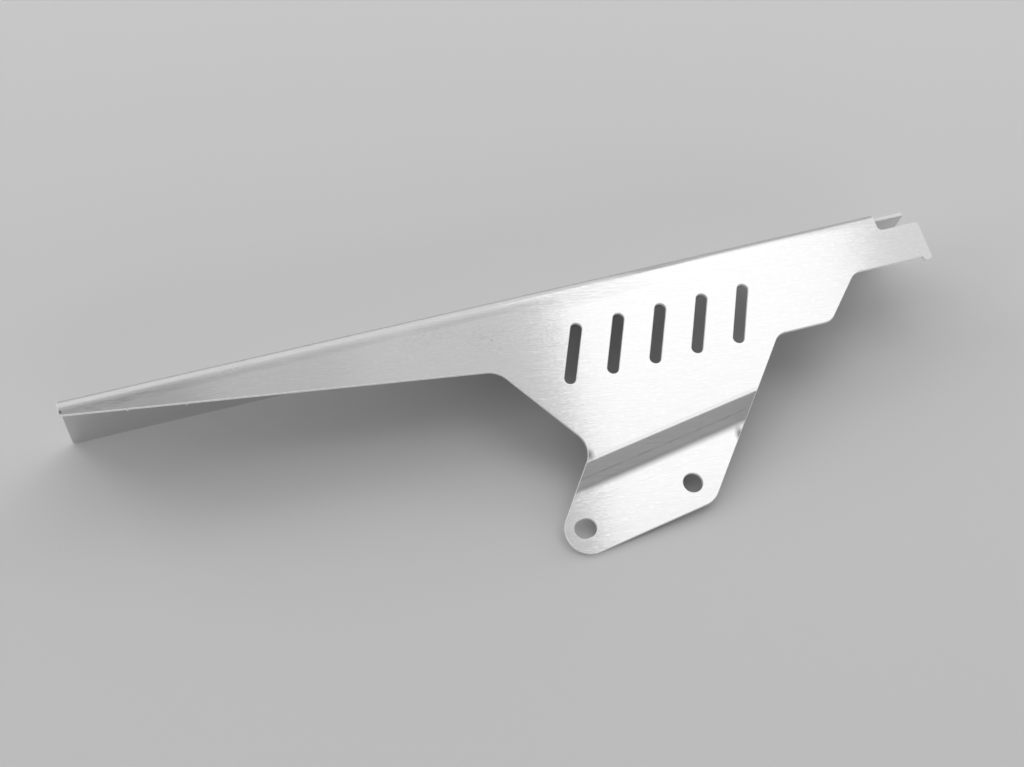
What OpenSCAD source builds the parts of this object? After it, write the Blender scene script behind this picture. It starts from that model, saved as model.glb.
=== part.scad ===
// Motorcycle chain guard, cut from one flat sheet and folded.
//
// The guard is drawn in the frame of its side plate: X runs along the fold from the tail's tip to the
// end tab, Y is up in the plate with the top flange's outer face at 0, and Z points out of the plate's
// front face. The last step lays it down the way it rests on a flat surface, on the back edge of its
// top flange and the lowest point of its foot.

/* [Sheet] */
// Thickness of the sheet
sheet_t = 2; // [1.5:0.1:3]
// Inner radius of the fold between the side plate and the top flange
fold_r = 2; // [1:0.1:3]
// Radius of the small corners of the cut outline
corner_r = 1.4; // [0.5:0.1:2]

/* [Top flange] */
// Length of the fold, from the tail's tip to the notch
fold_l = 435; // [425:1:442]
// Width of the top flange, from its back edge to the plate's front face
flange_w = 57; // [40:1:75]
// How far the tongue of the flange runs past the end of the fold
tongue_l = 21; // [8:1:30]
// Strip of flange that the notch takes past the fold, so that the tongue stays flat
notch_relief = 4; // [0.2:0.1:8]

/* [Tail] */
// Height of the plate at the tail's tip
tip_h = 8.4; // [6.5:0.1:10]
// Slope of the tail's lower edge
tail_slope = 8.07; // [6:0.1:10]
// Distance from the tip to where the tail ends and the edge turns down
tail_l = 212.4; // [195:1:225]
// Radius at the end of the tail
tail_end_r = 12.8; // [5:0.1:20]
// Radius of the small nubs left by the cutting on the tail's lower edge
nub_r = 0.5; // [0.3:0.1:1]
// Distances of those nubs from the tip
nub_x = [32, 60];

/* [Side plate] */
// Slope of the edge that runs down from the tail to the neck
belly_slope = 55.6; // [50:0.5:62]
// Slope of the edge that runs up from the foot to the shelf
front_slope = 51; // [47:0.5:56]
// Depth of the shelf below the fold
shelf_h = 54.3; // [46:0.1:60]
// Distance from the tip to the front end of the shelf
shelf_end = 390.4; // [380:0.5:400]
// Slope of the edge from the shelf up to the end tab
step_slope = 46.4; // [40:0.5:60]
// Radius at both ends of the shelf
shelf_r = 8.2; // [3:0.1:10]
// Radius where the last step meets the end tab
step_r = 9; // [3:0.1:12]

/* [End tab] */
// Length of the whole guard, from the tail's tip to the end tab's edge
guard_l = 458; // [450:1:475]
// Depth of the end tab's upper edge below the fold
tab_top = 10.8; // [8.5:0.1:13]
// Depth of the end tab's lower edge below the fold
tab_low = 31; // [27:0.1:37]
// Radius of the notch's corner between the tab and the fold
notch_r = 2.7; // [1:0.1:3]
// Radius of the round nib at the tab's lower corner
nib_r = 2.5; // [1:0.1:4]

/* [Foot] */
// Distance from the tip to the round mounting hole
hole_x = 290.4; // [285:0.2:296]
// Depth of the round mounting hole below the fold
hole_h = 118.9; // [115:0.1:125]
// Diameter of the round mounting hole, and width of the mounting slot
hole_d = 10; // [6:0.1:12]
// Distance from the round hole to the middle of the slot
hole_pitch = 60; // [54:0.5:64]
// Length that the slot adds to its width
slot_play = 1.4; // [0.5:0.1:4]
// Slope of the line through the hole and the slot
hole_line_slope = 8.3; // [6:0.1:11]
// Slope of the foot's lower edge and of its two bends
foot_slope = 8.9; // [6:0.1:11]
// Sheet between the round hole's centre and the foot's lower edge
foot_margin_low = 12.9; // [11:0.1:16]
// Sheet between the round hole's centre and the front edge
foot_margin_front = 13.5; // [11:0.1:16]
// Sheet between the slot's centre and the foot's rear edge
foot_margin_rear = 10.5; // [9:0.1:14]
// Slope of the foot's rear edge
foot_rear_slope = 53.8; // [50:0.2:58]
// Radius of the foot's lower corners
foot_r = 12.5; // [6:0.1:16]
// Radius of the neck between the plate and the foot
neck_r = 12.5; // [5:0.1:16]

/* [Set-back of the foot] */
// How far the foot lies behind the plate
setback = 3; // [1:0.1:5]
// Distance of the upper bend above the round hole
upper_bend_h = 30; // [27:0.1:33]
// Distance of the lower bend above the round hole
lower_bend_h = 18.3; // [16:0.1:20]
// Inner radius of both bends
setback_r = 14; // [4:0.5:16]

/* [Lightening slots] */
// Number of slots in the side plate
slots = 5; // [1:1:5]
// Width of each slot
slot_w = 6; // [3:0.5:8]
// Length of each slot over its round ends
slot_l = 34; // [16:1:40]
// Distance between neighbouring slots along the plate
slot_pitch = 23; // [16:0.5:25]
// Lean of the slots from upright
slot_lean = 24; // [0:1:30]
// Depth of the middle of the row below the fold
slot_row_h = 38.5; // [34.5:0.5:43.5]

/* [Hidden] */
$fn = 96;
MARGIN = 5; // how far a cutting tool reaches past what it cuts
LEAST_EDGE = 0.1; // straight edge that a round corner leaves beside the fold
CROSSING = 0.005; // how far a corner's disc reaches over its two edges, so that it cuts them cleanly

outer_r = fold_r + sheet_t;
tongue_end = fold_l + tongue_l;
notch_back = outer_r + notch_relief;
tip_r = min(corner_r, tip_h - outer_r - LEAST_EDGE);
tab_notch_r = min(notch_r, tab_top - outer_r - LEAST_EDGE);

// The cut edges of the plate in order, each as a point on it and its direction.
hole = [hole_x, -hole_h];
slot = hole + hole_pitch * heading(180 + hole_line_slope);
tail_end = [tail_l, -tip_h - tail_l * tan(tail_slope)];
tip_edge = [[0, 0], -90];
tail_edge = [tail_end, -tail_slope];
belly_edge = [tail_end, -belly_slope];
foot_rear_edge = [slot + foot_margin_rear * heading(foot_rear_slope + 90), foot_rear_slope - 180];
foot_low_edge = [hole + foot_margin_low * heading(foot_slope - 90), foot_slope];
front_edge = [hole + foot_margin_front * heading(front_slope - 90), front_slope];
shelf_edge = [[shelf_end, -shelf_h], 0];
step_edge = [[shelf_end, -shelf_h], step_slope];
tab_low_edge = [[guard_l, -tab_low], 0];
tab_end_edge = [[guard_l, -tab_low], 90];
tab_top_edge = [[guard_l, -tab_top], 180];
notch_edge = [[fold_l, -tab_top], 90];
fold_edge = [[0, -outer_r], 180];

EDGES = [tip_edge, tail_edge, belly_edge, foot_rear_edge, foot_low_edge, front_edge, shelf_edge,
         step_edge, tab_low_edge, tab_end_edge, tab_top_edge, notch_edge, fold_edge];
// Radius of the corner at the end of each edge, in the same order.
EDGE_END_R = [tip_r, tail_end_r, neck_r, foot_r, foot_r, shelf_r, shelf_r,
              step_r, 0, corner_r, tab_notch_r, 0, 0];
PLATE_CORNERS = [for (i = [0:len(EDGES) - 1]) crossing(EDGES[i], EDGES[(i + 1) % len(EDGES)])];

// The lower ends of the lightening slots lie midway between the belly and the front edge.
slot_sweep = slot_l / 2 * [sin(slot_lean), cos(slot_lean)];
slots_low = [[0, -slot_row_h - slot_sweep.y], 0];
slot_row_x = (crossing(slots_low, belly_edge).x + crossing(slots_low, front_edge).x) / 2 + slot_sweep.x;

// The guard rests on the inner corner of its flange's back edge and the lowest point of its foot.
FOOT_CORNER = 3;
foot_centre = corner_centre(PLATE_CORNERS, EDGE_END_R, FOOT_CORNER);
foot_lowest = foot_r - foot_centre.y;
rest_tilt = atan((flange_w - setback - sheet_t) / (foot_lowest - sheet_t));
rest_height = flange_w * cos(rest_tilt) + sheet_t * sin(rest_tilt);
rest_back = flange_w * sin(rest_tilt);
rest_front = setback * sin(rest_tilt) - foot_lowest * cos(rest_tilt);

// Unit vector at an angle from X
function heading(a) = [cos(a), sin(a)];

// Where two edges cross, each given as a point and a direction
function crossing(p, q) =
    let (u = heading(p[1]), v = heading(q[1]), d = q[0] - p[0])
    p[0] + u * (d.x * v.y - d.y * v.x) / (u.x * v.y - u.y * v.x);

function unit(v) = v / norm(v);

// Corner i of an outline, with the directions to its two neighbours
function corner_arms(pts, i) =
    let (n = len(pts))
    [unit(pts[(i + n - 1) % n] - pts[i]), unit(pts[(i + 1) % n] - pts[i])];

// Half the angle between the two edges that meet at corner i
function half_angle(pts, i) =
    let (arms = corner_arms(pts, i))
    acos(max(-1, min(1, arms[0] * arms[1]))) / 2;

// Points where a round corner leaves its two edges
function corner_ends(pts, radii, i) =
    let (arms = corner_arms(pts, i), reach = radii[i] / tan(half_angle(pts, i)))
    [pts[i] + reach * arms[0], pts[i] + reach * arms[1]];

function corner_centre(pts, radii, i) =
    let (arms = corner_arms(pts, i))
    pts[i] + unit(arms[0] + arms[1]) * radii[i] / sin(half_angle(pts, i));

// Whether corner i points outwards, on an outline that runs counter-clockwise
function points_out(pts, i) =
    let (arms = corner_arms(pts, i))
    arms[0].x * arms[1].y - arms[0].y * arms[1].x < 0;

// The part of a round corner's disc that lies between its arc and its chord
module corner_segment(pts, radii, i) {
    ends = corner_ends(pts, radii, i);
    centre = corner_centre(pts, radii, i);
    intersection() {
        translate(centre + unit(pts[i] - centre) * CROSSING / sin(half_angle(pts, i))) circle(r = radii[i]);
        polygon([ends[0], pts[i], ends[1]]);
    }
}

// Outline through the given corners, counter-clockwise, each rounded by its own radius
module rounded_outline(pts, radii) {
    last = len(pts) - 1;
    difference() {
        union() {
            polygon([for (i = [0:last]) each radii[i] > 0 ? corner_ends(pts, radii, i) : [pts[i]]]);
            for (i = [0:last]) if (radii[i] > 0 && points_out(pts, i)) corner_segment(pts, radii, i);
        }
        for (i = [0:last]) if (radii[i] > 0 && !points_out(pts, i)) corner_segment(pts, radii, i);
    }
}

// Straight slot with round ends, centred, along X
module round_slot(length, width) {
    run = length - width;
    square([run, width], center = true);
    for (side = [-1, 1]) translate([side * run / 2, 0]) circle(d = width);
}

// Everything cut into the flat blank: its outline, the nubs on the tail and the nib on the end tab
module plate_outline() {
    rounded_outline(PLATE_CORNERS, EDGE_END_R);
    for (x = nub_x) translate([x, -tip_h - x * tan(tail_slope)]) circle(r = nub_r);
    translate([guard_l - nib_r, -tab_low]) circle(r = nib_r);
}

// Section of the sheet across the foot's two bends: X is up from the round hole, Y is out of the plate
module setback_section() {
    lean = atan(setback / (upper_bend_h - lower_bend_h));
    shift = sheet_t * tan(lean / 2);
    top = hole_h + hole_x;
    bottom = -foot_margin_low - MARGIN;
    back = -setback - sheet_t;
    outer = setback_r + sheet_t;
    rounded_outline(
        [[bottom, back], [lower_bend_h + shift, back], [upper_bend_h + shift, -sheet_t],
         [top, -sheet_t], [top, 0], [upper_bend_h, 0], [lower_bend_h, -setback], [bottom, -setback]],
        [0, outer, setback_r, 0, 0, outer, setback_r, 0]
    );
}

// The sheet bent at the foot, wide enough for the whole plate
module setback_sheet() {
    translate(hole)
        rotate([0, 0, foot_slope])
            translate([-guard_l, 0, 0])
                rotate([90, 0, 90])
                    linear_extrude(height = 2 * guard_l) setback_section();
}

// Side plate with its foot, below the fold
module side_plate() {
    deep = setback + sheet_t;
    intersection() {
        translate([0, 0, -deep - MARGIN])
            linear_extrude(height = deep + 2 * MARGIN) plate_outline();
        setback_sheet();
    }
}

// The round fold along the top, between the plate and the flange
module fold() {
    rotate([90, 0, 90])
        linear_extrude(height = fold_l)
            rounded_outline(
                [[-outer_r, 0], [-outer_r, -sheet_t], [-sheet_t, -sheet_t], [-sheet_t, -outer_r],
                 [0, -outer_r], [0, 0]],
                [0, 0, fold_r, 0, 0, outer_r]
            );
}

// Top flange, with the tongue that runs past the notch
module top_flange() {
    rotate([90, 0, 0])
        linear_extrude(height = sheet_t)
            rounded_outline(
                [[0, -outer_r], [0, -flange_w], [tongue_end, -flange_w], [tongue_end, -notch_back],
                 [fold_l, -notch_back], [fold_l, -outer_r]],
                [0, corner_r, corner_r, corner_r, 0, 0]
            );
}

// Through cuts of the side plate
module lightening_slots() {
    for (i = [0:slots - 1])
        translate([slot_row_x + (i - (slots - 1) / 2) * slot_pitch, -slot_row_h, -sheet_t - MARGIN])
            rotate([0, 0, 90 - slot_lean])
                linear_extrude(height = sheet_t + 2 * MARGIN) round_slot(slot_l, slot_w);
}

module mounting_holes() {
    deep = setback + sheet_t + MARGIN;
    translate([hole.x, hole.y, -deep]) cylinder(d = hole_d, h = deep + MARGIN);
    translate([slot.x, slot.y, -deep])
        rotate([0, 0, hole_line_slope])
            linear_extrude(height = deep + MARGIN) round_slot(hole_d + slot_play, hole_d);
}

module chain_guard() {
    color("silver")
        translate([-guard_l / 2, -(rest_back + rest_front) / 2, rest_height])
            rotate([rest_tilt, 0, 0])
                difference() {
                    union() {
                        side_plate();
                        fold();
                        top_flange();
                    }
                    lightening_slots();
                    mounting_holes();
                }
}

chain_guard();
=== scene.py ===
from math import acos, atan2, ceil, cos, degrees, hypot, pi, radians, sin, sqrt, tan

import bmesh
import bpy
from mathutils import Matrix, Vector
from mathutils.geometry import delaunay_2d_cdt


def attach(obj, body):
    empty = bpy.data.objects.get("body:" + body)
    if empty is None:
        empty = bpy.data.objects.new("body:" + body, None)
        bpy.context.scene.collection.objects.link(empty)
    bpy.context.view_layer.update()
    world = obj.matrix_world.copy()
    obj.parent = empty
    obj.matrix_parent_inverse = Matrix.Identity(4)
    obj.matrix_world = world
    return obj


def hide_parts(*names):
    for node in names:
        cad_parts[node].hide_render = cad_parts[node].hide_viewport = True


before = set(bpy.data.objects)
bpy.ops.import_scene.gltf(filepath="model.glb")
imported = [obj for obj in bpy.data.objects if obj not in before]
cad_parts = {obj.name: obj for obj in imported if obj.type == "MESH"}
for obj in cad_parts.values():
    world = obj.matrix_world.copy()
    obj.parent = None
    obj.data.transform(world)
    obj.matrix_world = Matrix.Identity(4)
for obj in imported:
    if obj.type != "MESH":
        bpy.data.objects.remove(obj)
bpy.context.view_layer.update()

# The sheet is drawn in millimetres in its own frame, as the solid is: X along the fold from the tip,
# Y up in the side plate, Z out of its front face. Slopes are in degrees.
MM = 0.001
SHEET_T = 2.0
FOLD_R = 2.0
CORNER_R = 1.4

# Top flange
FOLD_L = 435.0
FLANGE_W = 57.0
TONGUE_L = 21.0
NOTCH_RELIEF = 4.0

# Tail
TIP_H = 8.4
TAIL_SLOPE = 8.07
TAIL_L = 212.4
TAIL_END_R = 12.8
NUB_R = 0.5
NUB_X = (32.0, 60.0)

# Side plate
BELLY_SLOPE = 55.6
FRONT_SLOPE = 51.0
SHELF_H = 54.3
SHELF_END = 390.4
STEP_SLOPE = 46.4
SHELF_R = 8.2
STEP_R = 9.0

# End tab
GUARD_L = 458.0
TAB_TOP = 10.8
TAB_LOW = 31.0
NOTCH_R = 2.7
NIB_R = 2.5

# Foot, with its round hole and its slot
HOLE_X = 290.4
HOLE_H = 118.9
HOLE_D = 10.0
HOLE_PITCH = 60.0
SLOT_PLAY = 1.4
HOLE_LINE_SLOPE = 8.3
FOOT_SLOPE = 8.9
FOOT_MARGIN_LOW = 12.9
FOOT_MARGIN_FRONT = 13.5
FOOT_MARGIN_REAR = 10.5
FOOT_REAR_SLOPE = 53.8
FOOT_R = 12.5
NECK_R = 12.5

# Set-back of the foot, with the heights of its two bends above the round hole
SETBACK = 3.0
UPPER_BEND_H = 30.0
LOWER_BEND_H = 18.3
SETBACK_R = 14.0

# Lightening slots
SLOTS = 5
SLOT_W = 6.0
SLOT_L = 34.0
SLOT_PITCH = 23.0
SLOT_LEAN = 24.0
SLOT_ROW_H = 38.5

# How finely the mesh follows arcs, the fold and the bends
ARC_STEP = 0.35
ARC_LEAST = 6
FOLD_STRIPS = 14
BEND_STEP = 0.3
BEND_ZONES = ((LOWER_BEND_H - 2, LOWER_BEND_H + 2.4), (UPPER_BEND_H - 2.2, UPPER_BEND_H + 2.2))
LEAST_EDGE = 0.03
ON_LINE = 1e-4
TINY = 1e-6

# The cut edges are broken to a small radius
EDGE_R = 0.3
EDGE_STEPS = 2

# The plate leaves the fold with a slight crown, and the upper bend is sharper on its front
CROWN = 3.4
CROWN_ANGLE = 13.0
CROWN_POWER = 1.5
CROWN_STRIPS = 8
CRISP_START = 0.28
CRISP_END = 0.64

# The grain's slope to the fold, and how far its lines lean to and fro along their run
GRAIN_SLOPE = -8.5
TILT = 0.02

# On the flat blank the fold is the strip from -OUTER_R to FOLD_TOP, and the flange lies above it
OUTER_R = FOLD_R + SHEET_T
FOLD_ARC = (FOLD_R + SHEET_T / 2) * pi / 2
FOLD_TOP = -OUTER_R + FOLD_ARC
BACK_EDGE = FOLD_TOP + FLANGE_W - OUTER_R
NOTCH_S = FOLD_TOP + NOTCH_RELIEF
TONGUE_END = FOLD_L + TONGUE_L


def heading(angle):
    """Unit vector at an angle from X, in degrees."""
    return Vector((cos(radians(angle)), sin(radians(angle))))


def crossing(p, q):
    """Where two edges cross, each given as a point and a direction."""
    u = heading(p[1])
    v = heading(q[1])
    d = q[0] - p[0]
    return p[0] + u * (d.x * v.y - d.y * v.x) / (u.x * v.y - u.y * v.x)


# The plate's cut edges in order, each as a point on it and its direction
HOLE = Vector((HOLE_X, -HOLE_H))
SLOT = HOLE + HOLE_PITCH * heading(180 + HOLE_LINE_SLOPE)
TAIL_END = Vector((TAIL_L, -TIP_H - TAIL_L * tan(radians(TAIL_SLOPE))))
SHELF = Vector((SHELF_END, -SHELF_H))
TAB_CORNER = Vector((GUARD_L, -TAB_LOW))
NIB = TAB_CORNER - Vector((NIB_R, 0))
TIP_EDGE = (Vector((0, 0)), -90)
TAIL_EDGE = (TAIL_END, -TAIL_SLOPE)
BELLY_EDGE = (TAIL_END, -BELLY_SLOPE)
FOOT_REAR_EDGE = (SLOT + FOOT_MARGIN_REAR * heading(FOOT_REAR_SLOPE + 90), FOOT_REAR_SLOPE - 180)
FOOT_LOW_EDGE = (HOLE + FOOT_MARGIN_LOW * heading(FOOT_SLOPE - 90), FOOT_SLOPE)
FRONT_EDGE = (HOLE + FOOT_MARGIN_FRONT * heading(FRONT_SLOPE - 90), FRONT_SLOPE)
SHELF_EDGE = (SHELF, 0)
STEP_EDGE = (SHELF, STEP_SLOPE)
TAB_LOW_EDGE = (TAB_CORNER, 0)
EDGES = (TIP_EDGE, TAIL_EDGE, BELLY_EDGE, FOOT_REAR_EDGE, FOOT_LOW_EDGE, FRONT_EDGE, SHELF_EDGE,
         STEP_EDGE, TAB_LOW_EDGE)
EDGE_END_R = (CORNER_R, TAIL_END_R, NECK_R, FOOT_R, FOOT_R, SHELF_R, SHELF_R, STEP_R)


def arc(centre, radius, start, sweep):
    """Points of an arc, both ends with it, at about ARC_STEP apart."""
    steps = max(ARC_LEAST, ceil(radius * radians(abs(sweep)) / ARC_STEP))
    return [centre + radius * heading(start + sweep * i / steps) for i in range(steps + 1)]


def corner_centre(before, corner, after, radius):
    """Centre of the arc that rounds one corner of an outline."""
    a = (before - corner).normalized()
    b = (after - corner).normalized()
    half = acos(max(-1, min(1, a.dot(b)))) / 2
    return corner + (a + b).normalized() * radius / sin(half)


def round_corner(before, corner, after, radius):
    """Points of the arc that rounds one corner of an outline."""
    if radius == 0:
        return [corner]
    centre = corner_centre(before, corner, after, radius)
    reach = sqrt((corner - centre).length_squared - radius ** 2)
    start = corner + (before - corner).normalized() * reach - centre
    end = corner + (after - corner).normalized() * reach - centre
    first = degrees(atan2(start.y, start.x))
    sweep = (degrees(atan2(end.y, end.x)) - first + 180) % 360 - 180
    return arc(centre, radius, first, sweep)


def blank_outline():
    """Outline of the flat blank, counter-clockwise: the plate below the fold and the flange above it.

    Each corner is given with its radius. A nub or nib is a half circle that stands out of its edge,
    and is given with the direction at which it starts.
    """
    corners = [(Vector((0, BACK_EDGE)), CORNER_R, None)]
    for edge, following, radius in zip(EDGES, EDGES[1:], EDGE_END_R):
        corners.append((crossing(edge, following), radius, None))
        if edge is TIP_EDGE:
            for x in NUB_X:
                nub = Vector((x, -TIP_H - x * tan(radians(TAIL_SLOPE))))
                corners.append((nub, NUB_R, 180 - TAIL_SLOPE))
    corners += [
        (NIB, NIB_R, 180),
        (Vector((GUARD_L, -TAB_TOP)), CORNER_R, None),
        (Vector((FOLD_L, -TAB_TOP)), NOTCH_R, None),
        (Vector((FOLD_L, NOTCH_S)), 0, None),
        (Vector((TONGUE_END, NOTCH_S)), CORNER_R, None),
        (Vector((TONGUE_END, BACK_EDGE)), CORNER_R, None),
    ]
    points = []
    for i, (corner, radius, half_circle) in enumerate(corners):
        if half_circle is None:
            before = corners[i - 1][0]
            if before is NIB:
                before = TAB_CORNER
            after = corners[(i + 1) % len(corners)][0]
            points += round_corner(before, corner, after, radius)
        else:
            points += arc(corner, radius, half_circle, 180)
    return points


def round_slot(centre, length, width, angle):
    """Outline of a straight slot with round ends."""
    along = heading(angle) * (length - width) / 2
    front = arc(centre + along, width / 2, angle - 90, 180)
    rear = arc(centre - along, width / 2, angle + 90, 180)
    return front + rear


def cut_outs():
    """Outlines of the two mounting holes and the row of lightening slots."""
    sweep = SLOT_L / 2 * Vector((sin(radians(SLOT_LEAN)), cos(radians(SLOT_LEAN))))
    low = (Vector((0, -SLOT_ROW_H - sweep.y)), 0)
    middle = (crossing(low, BELLY_EDGE).x + crossing(low, FRONT_EDGE).x) / 2 + sweep.x
    loops = [
        arc(HOLE, HOLE_D / 2, 0, 360)[:-1],
        round_slot(SLOT, HOLE_D + SLOT_PLAY, HOLE_D, HOLE_LINE_SLOPE),
    ]
    for i in range(SLOTS):
        centre = Vector((middle + (i - (SLOTS - 1) / 2) * SLOT_PITCH, -SLOT_ROW_H))
        loops.append(round_slot(centre, SLOT_L, SLOT_W, 90 - SLOT_LEAN))
    return loops


def inside(point, loops):
    """Whether a point lies on the sheet, between the outline and the cut-outs."""
    odd = False
    for loop in loops:
        for a, b in zip(loop, loop[1:] + loop[:1]):
            if (a.y > point.y) != (b.y > point.y):
                if point.x < a.x + (b.x - a.x) * (point.y - a.y) / (b.y - a.y):
                    odd = not odd
    return odd


# Section of the set-back: each face's two bends, as height above the round hole, height out of the plate
# and radius. LEAN is the angle of the slope between them, in radians.
LEAN = atan2(SETBACK, UPPER_BEND_H - LOWER_BEND_H)
SHIFT = SHEET_T * tan(LEAN / 2)
FRONT_SECTION = ((LOWER_BEND_H, -SETBACK, SETBACK_R), (UPPER_BEND_H, 0.0, SETBACK_R + SHEET_T))
BACK_SECTION = (
    (LOWER_BEND_H + SHIFT, -SETBACK, SETBACK_R + SHEET_T),
    (UPPER_BEND_H + SHIFT, 0.0, SETBACK_R),
)


def section(d, bends):
    """Height and slope of one face of the sheet, d above the round hole."""
    (low, floor_z, low_r), (high, top_z, high_r) = bends
    reach_low = low_r * tan(LEAN / 2)
    reach_high = high_r * tan(LEAN / 2)
    if d <= low - reach_low:
        return floor_z, 0.0
    if d < low + reach_low * cos(LEAN):
        run = d - (low - reach_low)
        return floor_z + low_r - sqrt(low_r ** 2 - run ** 2), run / sqrt(low_r ** 2 - run ** 2)
    if d <= high - reach_high * cos(LEAN):
        return floor_z + (d - low) * tan(LEAN), tan(LEAN)
    if d < high + reach_high:
        run = high + reach_high - d
        return top_z - high_r + sqrt(high_r ** 2 - run ** 2), run / sqrt(high_r ** 2 - run ** 2)
    return top_z, 0.0


BEND_UP = heading(FOOT_SLOPE + 90)


def smooth(x, low, high):
    """0 below low, 1 above high, and an even curve between them."""
    x = max(0.0, min(1.0, (x - low) / (high - low)))
    return x * x * (3 - 2 * x)


def crisp_slope(d):
    """Slope of the front face, with the upper bend drawn into a narrow part of its arc."""
    _, (high, _, radius) = FRONT_SECTION
    reach = radius * tan(LEAN / 2)
    start = high - reach * cos(LEAN)
    if d < start:
        return section(d, FRONT_SECTION)[1]
    part = (d - start) / (high + reach - start)
    return tan(LEAN) * (1 - smooth(part, CRISP_START, CRISP_END))


def bend_distance(x, y):
    """Distance of a point of the plate above the round hole, across the two bends."""
    return (Vector((x, y)) - HOLE).dot(BEND_UP)


def folded(x, s, front):
    """Where a point of the flat blank lies on the folded sheet's front or back face."""
    depth = 0.0 if front else SHEET_T
    if s <= -OUTER_R:
        z = section(bend_distance(x, s), FRONT_SECTION if front else BACK_SECTION)[0]
        return Vector((x, s, z - depth))
    if s >= FOLD_TOP:
        return Vector((x, -depth, -OUTER_R - (s - FOLD_TOP)))
    angle = (s + OUTER_R) / FOLD_ARC * pi / 2
    r = OUTER_R - depth
    return Vector((x, -OUTER_R + r * sin(angle), -OUTER_R + r * cos(angle)))


def face_normal(p, front):
    """Normal of the folded sheet's front or back face at a point on it."""
    side = 1 if front else -1
    if p.z < -OUTER_R - TINY and p.y > -OUTER_R:
        return Vector((0, side, 0))
    if p.y > -OUTER_R:
        angle = atan2(p.y + OUTER_R, p.z + OUTER_R)
        if front:
            angle += radians(CROWN_ANGLE) * (1 - 2 * angle / pi)
        return side * Vector((0, sin(angle), cos(angle)))
    d = bend_distance(p.x, p.y)
    if front and p.y > -OUTER_R - CROWN:
        angle = radians(CROWN_ANGLE) * ((p.y + OUTER_R) / CROWN + 1) ** CROWN_POWER
        return Vector((0, sin(angle), cos(angle)))
    slope = crisp_slope(d) if front else section(d, BACK_SECTION)[1]
    return side * Vector((-slope * BEND_UP.x, -slope * BEND_UP.y, 1)).normalized()


def unrolled(p):
    """Coordinates on the flat blank of a point of the folded sheet."""
    if p.y <= -OUTER_R:
        return p.x, p.y
    if p.z <= -OUTER_R:
        return p.x, FOLD_TOP - OUTER_R - p.z
    return p.x, -OUTER_R + atan2(p.y + OUTER_R, p.z + OUTER_R) / (pi / 2) * FOLD_ARC


def on_front(p):
    """Whether a point of the folded sheet is nearer its front face than its back face."""
    if p.y <= -OUTER_R:
        d = bend_distance(p.x, p.y)
        return p.z > (section(d, FRONT_SECTION)[0] + section(d, BACK_SECTION)[0] - SHEET_T) / 2
    if p.z <= -OUTER_R:
        return p.y > -SHEET_T / 2
    return hypot(p.y + OUTER_R, p.z + OUTER_R) > OUTER_R - SHEET_T / 2


# Material slots of the sheet's mesh
SURFACE, WALL, ROUND_EDGE = range(3)


def cut_lines(bm):
    """Splits the flat blank along the lines where it is bent, so that it folds smoothly."""
    up = Vector((0, 1))
    fold_rows = [-OUTER_R + FOLD_ARC * i / FOLD_STRIPS for i in range(FOLD_STRIPS + 1)]
    crown_rows = [-OUTER_R - CROWN * i / CROWN_STRIPS for i in range(1, CROWN_STRIPS + 1)]
    lines = [(Vector((0, row)), up) for row in fold_rows + crown_rows]
    for start, end in BEND_ZONES:
        steps = ceil((end - start) / BEND_STEP)
        rows = [start + (end - start) * i / steps for i in range(steps + 1)]
        lines += [(HOLE + BEND_UP * row, BEND_UP) for row in rows]
    for point, normal in lines:
        bmesh.ops.bisect_plane(
            bm, geom=bm.verts[:] + bm.edges[:] + bm.faces[:], dist=ON_LINE,
            plane_co=point.to_3d(), plane_no=normal.to_3d(),
        )
    bmesh.ops.remove_doubles(bm, verts=bm.verts[:], dist=LEAST_EDGE)


def flat_blank():
    """The blank as one flat layer of faces."""
    loops = [blank_outline()] + cut_outs()
    points = []
    edges = []
    for loop in loops:
        first = len(points)
        points += loop
        edges += [(first + i, first + (i + 1) % len(loop)) for i in range(len(loop))]
    places, _, faces = delaunay_2d_cdt(points, edges, [], 1, TINY)[:3]
    bm = bmesh.new()
    verts = [bm.verts.new(p.to_3d()) for p in places]
    for face in faces:
        centre = sum((places[i] for i in face), Vector((0, 0))) / len(face)
        if inside(centre, loops):
            bm.faces.new([verts[i] for i in face])
    bmesh.ops.delete(bm, geom=[v for v in bm.verts if not v.link_faces], context="VERTS")
    cut_lines(bm)
    return bm


def folded_sheet():
    """The whole sheet: front and back faces, cut walls and rounded edges, in its own frame."""
    bm = flat_blank()
    front_verts = bm.verts[:]
    front_faces = bm.faces[:]
    rim = [e for e in bm.edges if e.is_boundary]
    back = {v: bm.verts.new(v.co) for v in front_verts}
    for face in front_faces:
        bm.faces.new([back[v] for v in reversed(face.verts)])
    for edge in rim:
        a, b = edge.verts
        bm.faces.new((a, b, back[b], back[a])).material_index = WALL
    for v in front_verts:
        x, s, _ = v.co
        v.co = folded(x, s, True)
        back[v].co = folded(x, s, False)
    bmesh.ops.recalc_face_normals(bm, faces=bm.faces[:])
    corners = [e for e in bm.edges if len({f.material_index for f in e.link_faces}) == 2]
    bmesh.ops.bevel(
        bm, geom=corners, offset=EDGE_R, offset_type="OFFSET", segments=EDGE_STEPS, profile=0.5,
        affect="EDGES", clamp_overlap=False, material=ROUND_EDGE,
    )
    return bm


def vertex_normal(v):
    """Shading normal: exact on the two faces, and even along the cut walls and rounded edges."""
    kinds = {f.material_index for f in v.link_faces}
    if SURFACE in kinds:
        return face_normal(v.co, on_front(v.co))
    faces = [f for f in v.link_faces if WALL not in kinds or f.material_index == WALL]
    return sum((f.normal * f.calc_area() for f in faces), Vector()).normalized()


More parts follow.
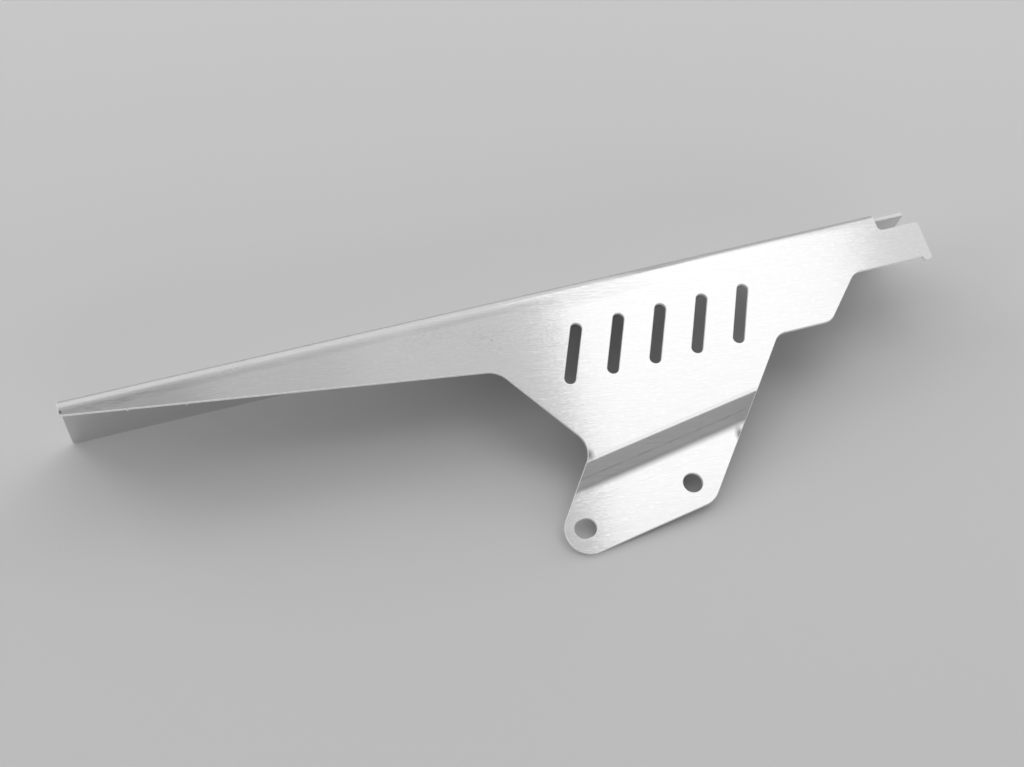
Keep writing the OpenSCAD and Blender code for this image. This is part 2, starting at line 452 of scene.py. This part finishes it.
def add_sheet_maps(bm):
    """Texture coordinates in metres on the flat blank: along the fold, and along the grain."""
    sheet_map = bm.loops.layers.uv.new("sheet")
    grain_map = bm.loops.layers.uv.new("grain")
    along = heading(GRAIN_SLOPE)
    across = heading(GRAIN_SLOPE + 90)
    for face in bm.faces:
        for loop in face.loops:
            place = Vector(unrolled(loop.vert.co)) * MM
            loop[sheet_map].uv = place
            loop[grain_map].uv = (place.dot(along), place.dot(across))


def rest_matrix():
    """From the sheet's frame in millimetres to the way the guard lies at rest, in metres."""
    before, corner, after = (crossing(EDGES[i], EDGES[i + 1]) for i in (2, 3, 4))
    foot_low = FOOT_R - corner_centre(before, corner, after, FOOT_R).y
    tilt = atan2(FLANGE_W - SETBACK - SHEET_T, foot_low - SHEET_T)
    height = FLANGE_W * cos(tilt) + SHEET_T * sin(tilt)
    behind = FLANGE_W * sin(tilt)
    ahead = SETBACK * sin(tilt) - foot_low * cos(tilt)
    place = Matrix.Translation((-GUARD_L / 2, -(behind + ahead) / 2, height))
    return Matrix.Scale(MM, 4) @ place @ Matrix.Rotation(tilt, 4, "X")


def make_guard():
    """The guard as one mesh object, lying as the solid does."""
    bm = folded_sheet()
    bm.normal_update()
    add_sheet_maps(bm)
    bm.verts.index_update()
    normals = [vertex_normal(v) for v in bm.verts]
    mesh = bpy.data.meshes.new("folded_guard")
    to_rest = rest_matrix()
    bm.transform(to_rest)
    bm.to_mesh(mesh)
    bm.free()
    for polygon in mesh.polygons:
        polygon.use_smooth = True
    turn = to_rest.to_3x3().normalized()
    mesh.normals_split_custom_set_from_vertices([turn @ n for n in normals])
    guard = bpy.data.objects.new("folded_guard", mesh)
    bpy.context.collection.objects.link(guard)
    return guard


class Nodes:
    """Short hand for one material's node tree."""

    def __init__(self, name):
        self.material = bpy.data.materials.new(name)
        self.material.use_nodes = True
        self.tree = self.material.node_tree
        self.shader = self.tree.nodes["Principled BSDF"]

    def add(self, kind, settings=None, **inputs):
        """A node of that kind; each named input is a value or another node's output."""
        node = self.tree.nodes.new("ShaderNode" + kind)
        for key, value in (settings or {}).items():
            setattr(node, key, value)
        for key, value in inputs.items():
            self.feed(node.inputs[key.replace("_", " ")], value)
        return node

    def feed(self, socket, value):
        """Links another node's output to a socket, or sets the socket's own value."""
        if isinstance(value, bpy.types.NodeSocket):
            self.tree.links.new(value, socket)
        else:
            socket.default_value = value

    def math(self, operation, *values, kind="Math"):
        """Output of a maths node whose inputs are fed in order."""
        node = self.add(kind, {"operation": operation})
        for socket, value in zip(node.inputs, values):
            self.feed(socket, value)
        return node.outputs[0]

    def product(self, first, *others):
        for value in others:
            first = self.math("MULTIPLY", first, value)
        return first

    def total(self, first, *others):
        for value in others:
            first = self.math("ADD", first, value)
        return first

    def spread(self, value, low, high, out_low=0.0, out_high=1.0):
        """A value between low and high, brought smoothly to another range."""
        node = self.add("MapRange", {"interpolation_type": "SMOOTHSTEP"})
        for socket, number in zip(node.inputs, (value, low, high, out_low, out_high)):
            self.feed(socket, number)
        return node.outputs["Result"]

    def band(self, value, middle, half, soft):
        """1 within half of the middle, fading to 0 over soft."""
        off = self.math("ABSOLUTE", self.math("SUBTRACT", value, middle))
        return self.spread(off, half, half + soft, 1.0, 0.0)

    def spot(self, x, y, place, size):
        """1 in the middle of an ellipse on the sheet, fading to 0 at its edge."""
        offs = [self.math("SUBTRACT", value, middle) for value, middle in zip((x, y), place)]
        sides = [self.math("DIVIDE", off, half) for off, half in zip(offs, size)]
        reach = self.math("SQRT", self.total(*(self.product(side, side) for side in sides)))
        return self.spread(reach, 0.0, 1.0, 1.0, 0.0)

    def streaks(self, coords, along, across, detail=2.0, seed=0.0):
        """Noise drawn out along U; along and across are the lengths of a mark in millimetres."""
        scale = (1 / (along * MM), 1 / (across * MM), 1)
        place = self.add("Mapping", Vector=coords, Scale=scale, Location=(seed, seed, seed))
        noise = self.add("TexNoise", Vector=place.outputs[0], Scale=1.0, Detail=detail)
        return noise.outputs["Fac"]

    def set(self, **values):
        """Sets or links the shader's inputs, named with _ for a space."""
        for key, value in values.items():
            self.feed(self.shader.inputs[key.replace("_", " ")], value)


def sheet_place(n):
    """Coordinates on the blank in millimetres, and the distance above the round hole across the bends."""
    place = n.add("SeparateXYZ", Vector=n.add("UVMap", {"uv_map": "sheet"}).outputs[0])
    x = n.product(place.outputs["X"], 1 / MM)
    y = n.product(place.outputs["Y"], 1 / MM)
    right = n.math("SUBTRACT", x, HOLE.x)
    up = n.math("SUBTRACT", y, HOLE.y)
    above = n.total(n.product(right, BEND_UP.x), n.product(up, BEND_UP.y))
    return x, y, above


# Marks on the sheet: middle, half sizes, and how much each darkens it. They are the smudges at the two ends
# of the slope above the foot, the pit at the tip, and a painted highlight by the foot, where the spot is
# brighter.
SPOTS = (
    ((243.2, -92.4), (4.2, 5.0), 0.75),
    ((322.6, -101.2), (3.8, 6.5), 0.9),
    ((1.0, -6.8), (1.1, 1.2), 0.7),
    # Painted highlight by the foot
    ((234.6, -109.5), (3.2, 4.0), -0.10),
)
# Patches of fine dark specks, given in the same way
SPECKED = (
    ((212, -21), (22, 13), 0.16),
    ((185, -12), (24, 8), 0.13),
    ((243, -25), (20, 20), 0.13),
    ((85, -5.6), (18, 4), 0.16),
)
# The two faint lines on the foot aren't quite parallel to its bends: they fall by this slope to the
# right, and their heights are the ones at this X
FOOT_LINES_FALL = 0.07
FOOT_LINES_X = 276


def wear_and_painted_light(n, grain, x, y, above):
    """How much the marks and the painted light darken the sheet: tool lines, scuffs under the fold,
    smudges, specks and a pit, with painted shade along the lower bend and under the fold, and painted light
    on the foot and by it.
    """
    broken = n.spread(n.streaks(grain, 7, 300, detail=1, seed=5), 0.36, 0.58, 0.2, 1.0)
    patchy = n.spread(n.streaks(grain, 26, 5, detail=1, seed=6), 0.25, 0.60, 0.25, 1.0)
    scuffs = n.spread(n.streaks(grain, 9, 1.1, detail=1, seed=9), 0.42, 0.62)
    specks = n.spread(n.streaks(grain, 1.7, 0.45, detail=0, seed=7), 0.58, 0.68)
    drift = n.total(above, n.product(n.math("SUBTRACT", x, FOOT_LINES_X), FOOT_LINES_FALL))
    marks_and_painted_light = [
        # Lines of the bending tool: on the slope, along its upper bend, and two on the foot. Along the
        # lower bend, painted shade where its wider arc turns from the light
        n.product(n.band(above, 23.5, 0.15, 0.6), broken, 0.13),
        # Painted shade along the lower bend
        n.product(n.band(above, 18.1, 0.8, 2.0), 0.17),
        n.product(n.band(above, 31.1, 0.1, 0.7), 0.06),
        n.product(n.band(drift, 10.7, 0.1, 0.45), broken, n.spread(x, 262, 305, 1.0, 0.4), 0.06),
        n.product(n.band(drift, 8.3, 0.1, 0.4), broken, n.spread(x, 245, 290, 1.0, 0.0), 0.04),
        # The line under the fold along the tail, partly a press mark and partly painted shade where the
        # fold's light dips, with streaks near the tip
        n.product(n.band(y, -7.6, 0.5, 1.8), patchy, n.spread(x, 225, 265, 1.0, 0.0), 0.095),
        n.product(n.band(y, -8.2, 1.4, 1.4), n.band(x, 29, 12, 12), scuffs, 0.12),
        # The scuffed strip under the fold, past the end of the tail
        n.product(
            n.band(y, -8.0, 3.0, 3.5), n.spread(x, 228, 255), n.spread(x, 260, 315, 1.0, 0.0),
            n.total(n.product(scuffs, 0.6), 0.4), 0.14,
        ),
        # Painted light: below its bends the foot is made a little brighter
        n.product(n.spread(above, 12.0, 19.0, 1.0, 0.0), -0.05),
    ]
    marks_and_painted_light += [n.product(n.spot(x, y, place, size), depth) for place, size, depth in SPOTS]
    marks_and_painted_light += [n.product(n.spot(x, y, place, size), specks, depth) for place, size, depth in SPECKED]
    return n.total(*marks_and_painted_light)


def brushed_metal():
    """The sheet's two faces, brushed along the fold: streaks in its shade, its gloss and its lean."""
    n = Nodes("brushed_metal")
    grain = n.add("UVMap", {"uv_map": "grain"}).outputs[0]
    fine = n.streaks(grain, 12, 0.16, detail=0, seed=1)
    middle = n.streaks(grain, 25, 0.5, detail=0, seed=2)
    broad = n.streaks(grain, 60, 4, seed=3)
    dashes = n.spread(n.streaks(grain, 3.5, 0.35, detail=0, seed=4), 0.60, 0.74)
    x, y, above = sheet_place(n)
    # The slope between the foot's bends shows less of the grain
    calm = n.spread(n.math("ABSOLUTE", n.math("SUBTRACT", above, 24.5)), 6.0, 8.5, 0.25, 1.0)
    shade = n.total(
        n.product(fine, calm, 0.08), n.product(middle, 0.05), n.product(broad, 0.04),
        0.655, n.product(dashes, 0.05),
    )
    # Tool marks, smudges and specks, with painted shade and painted light, darken or lighten the shade
    shade = n.product(shade, n.math("SUBTRACT", 1.0, wear_and_painted_light(n, grain, x, y, above)))
    colour = n.add("CombineColor", Red=shade, Green=shade, Blue=n.product(shade, 1.01))
    off_middle = n.math("SUBTRACT", middle, 0.5)
    rough = n.total(n.product(off_middle, calm, 0.10), n.product(broad, 0.03), 0.145)
    bump = n.add("Bump", Height=fine, Strength=0.4, Distance=0.00001).outputs[0]
    tangent = n.add("Tangent", {"direction_type": "UV_MAP", "uv_map": "grain"}).outputs[0]
    long_lean = n.streaks(grain, 11, 0.5, detail=1, seed=8)
    short_lean = n.streaks(grain, 2.4, 0.35, detail=0, seed=10)
    tilt = n.product(n.math("SUBTRACT", n.total(long_lean, short_lean), 1.0), calm, TILT)
    lean = n.add("VectorMath", {"operation": "SCALE"}, Vector=tangent, Scale=tilt).outputs[0]
    leaning = n.math("ADD", bump, lean, kind="VectorMath")
    normal = n.math("NORMALIZE", leaning, kind="VectorMath")
    n.set(
        Base_Color=colour.outputs[0], Metallic=1.0, Roughness=rough, Anisotropic=1.0,
        Anisotropic_Rotation=0.25, Normal=normal, Tangent=tangent,
    )
    return n.material


def cut_metal():
    """The laser-cut walls, with fine striations that run through the sheet."""
    n = Nodes("cut_metal")
    sheet = n.add("UVMap", {"uv_map": "sheet"}).outputs[0]
    lines = n.add("TexNoise", Vector=sheet, Scale=2400.0, Detail=1.0).outputs["Fac"]
    shade = n.total(n.product(lines, 0.12), 0.90)
    colour = n.add("CombineColor", Red=shade, Green=shade, Blue=shade)
    n.set(Base_Color=colour.outputs[0], Metallic=0.2, Roughness=0.4)
    return n.material


def edge_metal():
    """The thin bright line where the grain ends at a cut."""
    n = Nodes("edge_metal")
    n.set(Base_Color=(0.98, 0.98, 0.98, 1), Metallic=0.1, Roughness=0.35)
    return n.material


guard = make_guard()
for material in (brushed_metal(), cut_metal(), edge_metal()):
    guard.data.materials.append(material)
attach(guard, "root")
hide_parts("chain_guard")


# The floor, the lamps and the world, in metres
FLOOR_HALF = 4.0
FLOOR_SHADE = 0.68
WORLD_SHADE = 0.235
CEILING = 1.25
PLATE_MIRROR_Y = 0.21
DOWN = None

# Each lamp's name, place, target, size and glow, where a glow of 1 is as bright as a white surface. The
# plate mirrors the lamps that hang at PLATE_MIRROR_Y: their ends in X are where its light and dark meet.
LAMPS = (
    ("overhead", (0.531, PLATE_MIRROR_Y, CEILING), DOWN, (0.438, 1.36), 0.68),
    ("overhead_core", (0.584, PLATE_MIRROR_Y, CEILING), DOWN, (0.332, 1.36), 0.05),
    ("right_top", (1.038, PLATE_MIRROR_Y, CEILING), DOWN, (0.58, 1.36), 0.18),
    ("step_top", (0.68, 0.2, 1.5), DOWN, (1.2, 1.0), 0.10),
    ("half_top", (0.62, 0.2, 1.6), DOWN, (1.5, 1.0), 0.175),
    ("wide_top", (0.2, 0.3, 1.9), DOWN, (2.6, 1.6), 0.22),
    ("front_top", (0.35, -0.95, CEILING), DOWN, (1.8, 0.7), 0.09),
    ("far_panel", (0.05, 1.3, 0.95), (0.05, 0, 0.15), (1.0, 1.9), 0.61),
    ("far_mid", (1.0, 1.0, 1.0), (1.0, 0, 0.05), (0.85, 0.4), 0.6),
    ("far_dim", (1.0, 1.3, 0.95), (1.0, 0, 0.15), (0.85, 1.9), 0.36),
    ("far_left", (-1.3, 1.5, 0.9), (0, 0, 0), (1.4, 1.6), 1.8),
    ("far_right", (2.1, 1.2, 0.9), (0, 0, 0), (1.4, 1.6), 1.8),
    ("left_panel", (-1.9, -0.2, 1.1), (0, 0, 0), (1.4, 1.2), 1.3),
    ("front_panel", (0.2, -2.1, 0.65), (0, 0, 0), (3.0, 0.9), 1.5),
)


def add_floor():
    """A plain pale floor, well past the edges of the picture."""
    mesh = bpy.data.meshes.new("floor")
    h = FLOOR_HALF
    mesh.from_pydata([(-h, -h, 0), (h, -h, 0), (h, h, 0), (-h, h, 0)], [], [(0, 1, 2, 3)])
    paint = Nodes("floor")
    paint.set(Base_Color=(FLOOR_SHADE, FLOOR_SHADE, FLOOR_SHADE, 1), Roughness=0.9)
    mesh.materials.append(paint.material)
    floor = bpy.data.objects.new("floor", mesh)
    bpy.context.collection.objects.link(floor)


def softbox(name, place, target, size, glow):
    """A flat lamp whose face is level along X, turned to its target or straight down."""
    lamp = bpy.data.lights.new(name, "AREA")
    lamp.shape = "RECTANGLE"
    lamp.size, lamp.size_y = size
    lamp.energy = glow * pi * size[0] * size[1]
    box = bpy.data.objects.new(name, lamp)
    if target is DOWN:
        target = (place[0], place[1], 0)
    out = (Vector(place) - Vector(target)).normalized()
    side = Vector((1, 0, 0))
    side = (side - side.dot(out) * out).normalized()
    turn = Matrix((side, out.cross(side), out)).transposed()
    box.matrix_world = Matrix.Translation(place) @ turn.to_4x4()
    bpy.context.collection.objects.link(box)


def add_world():
    """Even light from all round."""
    world = bpy.data.worlds.new("studio")
    world.use_nodes = True
    colour = world.node_tree.nodes["Background"].inputs["Color"]
    colour.default_value = (WORLD_SHADE, WORLD_SHADE, WORLD_SHADE, 1)
    bpy.context.scene.world = world


add_floor()
for lamp_row in LAMPS:
    softbox(*lamp_row)
add_world()


# The camera stands where the photograph's did. Its focal length is in pixels of that image's width.
IMAGE_W = 1024
FOCAL_PIXELS = 1604.2
SENSOR_MM = 36
CAMERA_PLACE = Vector((-0.1773, -0.4997, 0.6341))
CAMERA_RIGHT = Vector((0.9513, -0.3083, 0))
CAMERA_UP = Vector((0.229, 0.7066, 0.6695))


def add_camera():
    """The camera at its place, squared up from its two measured directions."""
    lens = bpy.data.cameras.new("camera")
    lens.sensor_width = SENSOR_MM
    lens.lens = FOCAL_PIXELS * SENSOR_MM / IMAGE_W
    camera = bpy.data.objects.new("camera", lens)
    back = CAMERA_RIGHT.cross(CAMERA_UP).normalized()
    up = back.cross(CAMERA_RIGHT).normalized()
    turn = Matrix((up.cross(back), up, back)).transposed()
    camera.matrix_world = Matrix.Translation(CAMERA_PLACE) @ turn.to_4x4()
    bpy.context.collection.objects.link(camera)
    bpy.context.scene.camera = camera


add_camera()
bpy.context.scene.view_settings.view_transform = "Standard"
